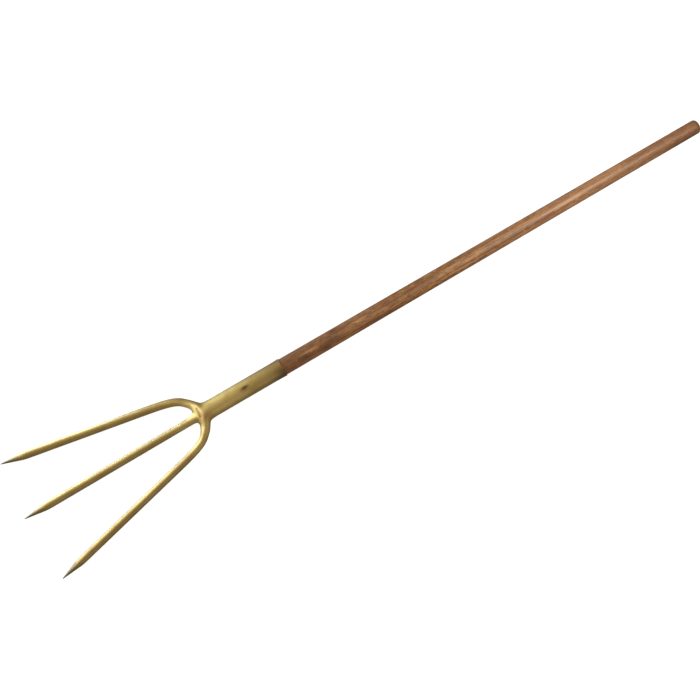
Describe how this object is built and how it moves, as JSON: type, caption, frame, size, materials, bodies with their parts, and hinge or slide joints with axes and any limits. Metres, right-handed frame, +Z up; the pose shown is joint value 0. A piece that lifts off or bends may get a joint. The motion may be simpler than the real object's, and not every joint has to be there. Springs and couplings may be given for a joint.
{
  "type": "digging fork",
  "caption": "Long-handled fork with a straight round wooden handle in a steel socket, and stout round pointed steel tines that fan out from a forged yoke.",
  "frame": {"origin": "on the ground, under the middle of the fork's bounding box, as it lies with its tips and its socket's mouth down", "axes": "+X along the handle towards its grip end, +Z up from the ground, +Y to the side of the left tine"},
  "size_m": [1.4066, 0.2366, 0.0347],
  "materials": {
    "handle_wood": "stained and oiled",
    "head_steel": "gold lacquer over forged steel",
    "screw_steel": "zinc plated"
  },
  "bodies": {
    "root": {"handle": "handle_wood", "socket": "head_steel", "yoke": "head_steel", "tine_left": "head_steel", "tine_center": "head_steel", "tine_right": "head_steel", "socket_screw": "screw_steel"}
  },
  "joints": []
}
